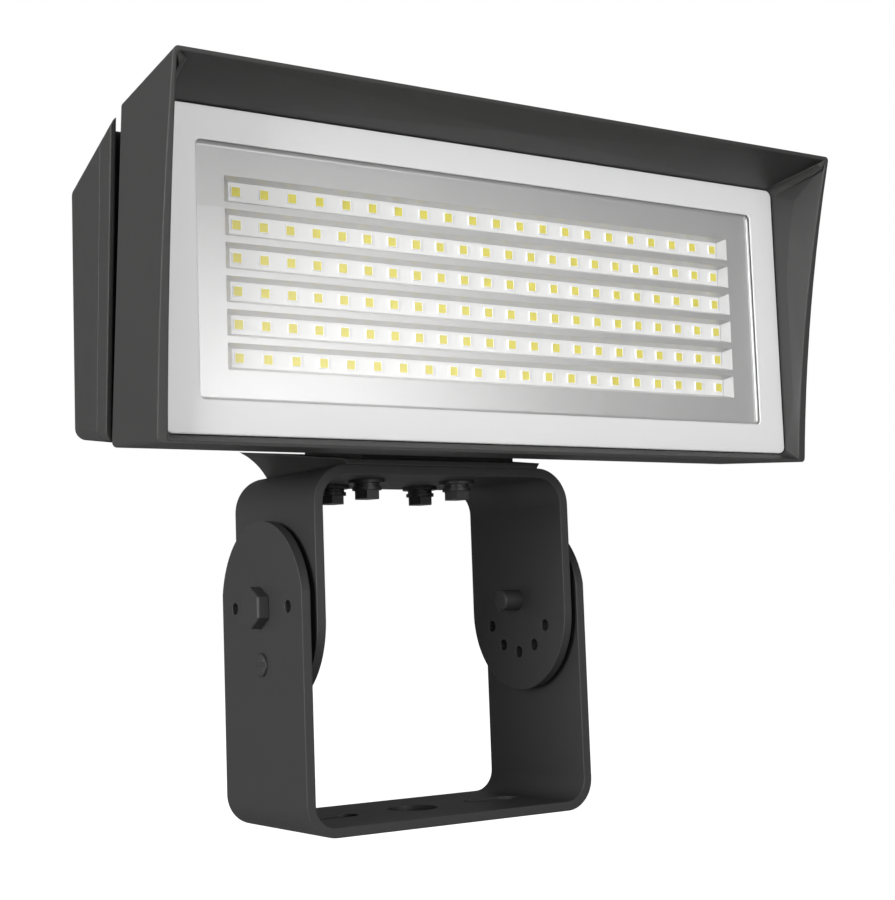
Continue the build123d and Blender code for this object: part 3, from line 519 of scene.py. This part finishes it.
@dataclass
class Hood:
    """The front casting, with the rim of its hood drawn out to a thin sharp lip.

    Heights are taken from the middle of the lens, and forward distances from the pivot.
    """

    casting: str = "front_housing"
    lens_middle: float = 270.3 * MM
    lens_plane: float = 107.3 * MM
    loft_end: float = 152.18 * MM
    draft: float = 0.07344
    casting_reaches: Triple = (197.4 * MM, 85.3 * MM, 81.2 * MM)
    recess_reaches: Triple = (191.3 * MM, 76.85 * MM, 76.85 * MM)
    recess_corner: float = 4.6 * MM
    cast_lip: float = 2.9 * MM
    thin_lip: float = 1.5 * MM
    thin_corner: float = 1.0 * MM
    rim_points: tuple[tuple[float, float], ...] = (
        (115.2 * MM, -80.9 * MM),
        (129.4 * MM, 23.0 * MM),
        (144.7 * MM, 88.4 * MM),
    )
    rim_slack: float = 0.5 * MM
    merge_distance: float = 0.005 * MM

    def rim_forward(self, height: float) -> float:
        """Find how far forward the rim's arc is at a height.

        Args:
            height: The height above the middle of the lens.

        Returns:
            The forward distance.
        """
        low, middle, high = (Vector(point) for point in self.rim_points)
        sides = Matrix((middle - low, high - middle))
        halves = Vector(((middle - low).dot((middle + low) / 2), (high - middle).dot((high + middle) / 2)))
        centre = sides.inverted() @ halves
        radius = (low - centre).length
        side = 1.0 if low.x > centre.x else -1.0
        return centre.x + side * (radius**2 - (height - centre.y) ** 2) ** 0.5

    def drawn_out(self, offset: float, forward: float, casting: float, recess: float, tip: float) -> float:
        """Move one coordinate of a point on the inner rim outwards, towards the casting's outside.

        Args:
            offset: The coordinate's distance from the lens axis.
            forward: The point's forward distance.
            casting: The casting's reach that way at the lens plane.
            recess: The recess's reach that way at the lens plane.
            tip: How far forward the rim reaches that way, where the lip is thinnest.

        Returns:
            The new distance from the lens axis.
        """
        ahead = forward - self.lens_plane
        loft_length = self.loft_end - self.lens_plane
        old_end = casting + self.draft * loft_length - self.cast_lip
        old_flat = recess + ahead / loft_length * (old_end - recess) - self.recess_corner
        new_end = casting + self.draft * (tip - self.lens_plane) - self.thin_lip
        new_flat = recess + ahead / (tip - self.lens_plane) * (new_end - recess) - self.thin_corner
        if offset <= old_flat:
            return offset * new_flat / old_flat
        return new_flat + (offset - old_flat) * self.thin_corner / self.recess_corner

    def build(self, palette: Palette) -> None:
        """Replace the casting with a copy whose rim is thin.

        Args:
            palette: The materials to use.
        """
        mesh = bmesh.new()
        mesh.from_mesh(FRAME["nodes"][self.casting].data)
        bmesh.ops.remove_doubles(mesh, verts=mesh.verts, dist=self.merge_distance)
        width, rise, drop = self.casting_reaches
        recess_width, recess_rise, recess_drop = self.recess_reaches
        bottom_tip, top_tip = self.rim_points[0][0], self.rim_points[-1][0]
        moved = 0
        for vert in mesh.verts:
            forward = -vert.co.y
            height = vert.co.z - self.lens_middle
            outside = self.draft * (forward - self.lens_plane) - self.thin_lip
            inner = abs(vert.co.x) < width + outside and -drop - outside < height < rise + outside
            on_rim = forward > self.lens_plane and abs(forward - self.rim_forward(height)) < self.rim_slack
            if not (inner and on_rim):
                continue
            side = 1.0 if vert.co.x > 0 else -1.0
            vert.co.x = side * self.drawn_out(abs(vert.co.x), forward, width, recess_width, top_tip)
            if height > 0:
                height = self.drawn_out(height, forward, rise, recess_rise, top_tip)
            else:
                height = -self.drawn_out(-height, forward, drop, recess_drop, bottom_tip)
            vert.co.z = self.lens_middle + height
            vert.co.y = -self.rim_forward(height)
            moved += 1
        data = bpy.data.meshes.new("hooded_casting")
        mesh.to_mesh(data)
        mesh.free()
        data.shade_flat()
        data.materials.append(palette.materials[Stock.CASTING])
        casting = bpy.data.objects.new("hooded_casting", data)
        bpy.context.scene.collection.objects.link(casting)
        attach(casting, "head")
        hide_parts(self.casting)
        LOG.info("built %s, with %d points of its rim drawn out", casting.name, moved)


@dataclass
class LightHead:
    """The front casting with its lens frame, lens, reflector and LED boards."""

    board_count: int = 6
    hood: Hood = field(default_factory=Hood)
    leds: LedField = field(default_factory=LedField)

    def dress(self, palette: Palette) -> None:
        """Build the hooded casting and the LEDs, and finish the optics and the boards.

        Args:
            palette: The materials to use.
        """
        self.hood.build(palette)
        palette.dress(Stock.FRAME, "lens_frame")
        palette.dress(Stock.LENS, "lens")
        FRAME["nodes"]["lens"].visible_shadow = False
        palette.dress(Stock.RUBBER, "lens_gasket")
        palette.dress(Stock.REFLECTOR, "reflector_pan")
        palette.dress(Stock.BOARD, *[f"led_board_{number}" for number in range(1, self.board_count + 1)])
        self.leds.build(palette)


@dataclass(frozen=True)
class SoftBox:
    """A rectangular studio lamp aimed at a point."""

    name: str
    place: Triple
    aim: Triple
    width: float
    height: float
    power: float

    def build(self) -> None:
        """Hang the lamp."""
        lamp = bpy.data.lights.new(self.name, "AREA")
        lamp.shape = "RECTANGLE"
        lamp.size = self.width
        lamp.size_y = self.height
        lamp.energy = self.power
        stand = bpy.data.objects.new(self.name, lamp)
        stand.location = self.place
        stand.visible_transmission = False
        stand.rotation_euler = (Vector(self.aim) - Vector(self.place)).to_track_quat("-Z", "Y").to_euler()
        bpy.context.scene.collection.objects.link(stand)


@dataclass(frozen=True)
class ReflectedCard:
    """A glowing card in front of the light, brightest at its low left end, for the lens to mirror."""

    left: float = 0.55
    right: float = 2.018
    bottom: float = 0.02
    top: float = 0.967
    ahead: float = 2.5
    tint: Colour = (1.0, 0.985, 0.99)
    brightest: float = 2.5
    faintest: float = 0.3
    full_until: Triple = (1.25, 0.0, 0.45)
    fade: Triple = (0.78, 1.0, 0.75)

    def glow(self) -> bpy.types.Material:
        """Make the card's glow, which fades to the right and upwards.

        Returns:
            The card's material.
        """
        material = bpy.data.materials.new("reflected_card")
        material.use_nodes = True
        tree = material.node_tree
        surface = tree.nodes["Principled BSDF"]
        surface.inputs["Base Color"].default_value = BLACK
        surface.inputs["Emission Color"].default_value = (*self.tint, 1.0)
        place = tree.nodes.new("ShaderNodeTexCoord")
        past = tree.nodes.new("ShaderNodeVectorMath")
        past.operation = "SUBTRACT"
        past.inputs[1].default_value = self.full_until
        beyond = tree.nodes.new("ShaderNodeVectorMath")
        beyond.operation = "MAXIMUM"
        beyond.inputs[1].default_value = (0.0, 0.0, 0.0)
        share = tree.nodes.new("ShaderNodeVectorMath")
        share.operation = "DIVIDE"
        share.inputs[1].default_value = self.fade
        across = tree.nodes.new("ShaderNodeVectorMath")
        across.operation = "MULTIPLY"
        across.inputs[1].default_value = (1.0, 0.0, 1.0)
        reach = tree.nodes.new("ShaderNodeVectorMath")
        reach.operation = "LENGTH"
        level = tree.nodes.new("ShaderNodeMapRange")
        level.interpolation_type = "SMOOTHSTEP"
        level.inputs["To Min"].default_value = self.brightest
        level.inputs["To Max"].default_value = self.faintest
        link(tree, place.outputs["Object"], past.inputs[0])
        link(tree, past.outputs["Vector"], beyond.inputs[0])
        link(tree, beyond.outputs["Vector"], share.inputs[0])
        link(tree, share.outputs["Vector"], across.inputs[0])
        link(tree, across.outputs["Vector"], reach.inputs[0])
        link(tree, reach.outputs["Value"], level.inputs["Value"])
        link(tree, level.outputs["Result"], surface.inputs["Emission Strength"])
        return material

    def build(self) -> None:
        """Stand the card up, facing the light."""
        data = bpy.data.meshes.new("reflected_card")
        corners = [
            (self.left, -self.ahead, self.bottom),
            (self.left, -self.ahead, self.top),
            (self.right, -self.ahead, self.top),
            (self.right, -self.ahead, self.bottom),
        ]
        data.from_pydata(corners, [], [(0, 1, 2, 3)])
        data.materials.append(self.glow())
        card = bpy.data.objects.new("reflected_card", data)
        card.visible_camera = False
        bpy.context.scene.collection.objects.link(card)


@dataclass
class Studio:
    """The pale floor, the world, the lamps and the camera."""

    floor_half: float = 15.0
    floor_colour: Colour = (0.8, 0.8, 0.8)
    floor_roughness: float = 0.9
    floor_glow: float = 0.96
    world_strength: float = 0.1
    mirrored_strength: float = 0.1
    camera_place: Triple = (-0.49752, -0.78884, 0.10932)
    camera_right: Triple = (0.83195, -0.55371, -0.03558)
    camera_down: Triple = (0.02494, 0.10138, -0.99453)
    camera_forward: Triple = (0.55429, 0.82652, 0.09816)
    focal_pixels: float = 1674.19
    image_width: float = 895.0
    sensor_width: float = 36.0
    clip_start: float = 0.05
    clip_end: float = 100.0
    lamps: tuple[SoftBox, ...] = (
        SoftBox("side", place=(-2.9, -0.75, 0.5), aim=(0.0, 0.0, 0.2), width=1.8, height=1.5, power=112.0),
        SoftBox("front", place=(0.0, -3.2, 0.45), aim=(0.0, -0.1, 0.27), width=2.2, height=0.9, power=43.0),
        SoftBox("top", place=(-0.2, -0.4, 2.4), aim=(0.0, 0.0, 0.2), width=1.8, height=1.8, power=1.5),
    )
    card: ReflectedCard = ReflectedCard()

    def build_camera(self) -> None:
        """Set the camera where the photograph was taken from."""
        data = bpy.data.cameras.new("photo_camera")
        data.sensor_fit = "HORIZONTAL"
        data.sensor_width = self.sensor_width
        data.lens = self.focal_pixels / self.image_width * self.sensor_width
        data.clip_start = self.clip_start
        data.clip_end = self.clip_end
        camera = bpy.data.objects.new("photo_camera", data)
        across = Vector(self.camera_right)
        up = -Vector(self.camera_down)
        back = -Vector(self.camera_forward)
        turned = Matrix((across, up, back)).transposed().to_4x4()
        camera.matrix_world = Matrix.Translation(self.camera_place) @ turned
        bpy.context.scene.collection.objects.link(camera)
        bpy.context.scene.camera = camera

    def floor_material(self) -> bpy.types.Material:
        """Make the floor's finish, which the camera sees as white with a faint shadow.

        Returns:
            The floor's material.
        """
        material = bpy.data.materials.new("studio_floor")
        material.use_nodes = True
        tree = material.node_tree
        surface = tree.nodes["Principled BSDF"]
        surface.inputs["Base Color"].default_value = (*self.floor_colour, 1.0)
        surface.inputs["Roughness"].default_value = self.floor_roughness
        surface.inputs["Emission Color"].default_value = WHITE
        path = tree.nodes.new("ShaderNodeLightPath")
        glow = tree.nodes.new("ShaderNodeMath")
        glow.operation = "MULTIPLY"
        glow.inputs[1].default_value = self.floor_glow
        link(tree, path.outputs["Is Camera Ray"], glow.inputs[0])
        link(tree, glow.outputs[0], surface.inputs["Emission Strength"])
        return material

    def build_floor(self) -> None:
        """Lay the floor under the yoke's base."""
        mesh = bmesh.new()
        bmesh.ops.create_grid(mesh, x_segments=1, y_segments=1, size=self.floor_half)
        data = bpy.data.meshes.new("studio_floor")
        mesh.to_mesh(data)
        mesh.free()
        data.materials.append(self.floor_material())
        floor = bpy.data.objects.new("studio_floor", data)
        bpy.context.scene.collection.objects.link(floor)

    def build_world(self) -> None:
        """Make a white world for the camera and a soft even light for the rest."""
        world = bpy.data.worlds.new("studio_world")
        world.use_nodes = True
        bpy.context.scene.world = world
        tree = world.node_tree
        sky = tree.nodes["Background"]
        sky.inputs["Color"].default_value = WHITE
        path = tree.nodes.new("ShaderNodeLightPath")
        level = tree.nodes.new("ShaderNodeMapRange")
        level.inputs["To Min"].default_value = self.world_strength
        level.inputs["To Max"].default_value = 1.0
        mirrored = tree.nodes.new("ShaderNodeMath")
        mirrored.operation = "MULTIPLY_ADD"
        mirrored.inputs[1].default_value = self.mirrored_strength
        link(tree, path.outputs["Is Glossy Ray"], mirrored.inputs[0])
        link(tree, path.outputs["Is Camera Ray"], mirrored.inputs[2])
        link(tree, mirrored.outputs[0], level.inputs["Value"])
        link(tree, level.outputs["Result"], sky.inputs["Strength"])

    def build(self) -> None:
        """Build the whole studio."""
        bpy.context.scene.view_settings.view_transform = "Standard"
        self.build_camera()
        self.build_world()
        self.build_floor()
        for lamp in self.lamps:
            lamp.build()
        self.card.build()


def main() -> None:
    """Build the flood light's pieces in order, then the studio."""
    logging.basicConfig(level=logging.INFO, format="%(name)s: %(message)s")
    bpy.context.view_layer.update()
    palette = Palette()
    for assembly in (Yoke(), Bracket(), RearBox(), LightHead()):
        assembly.dress(palette)
        LOG.info("finished %s", type(assembly).__name__)
    Studio().build()


if __name__ == "__main__":
    main()
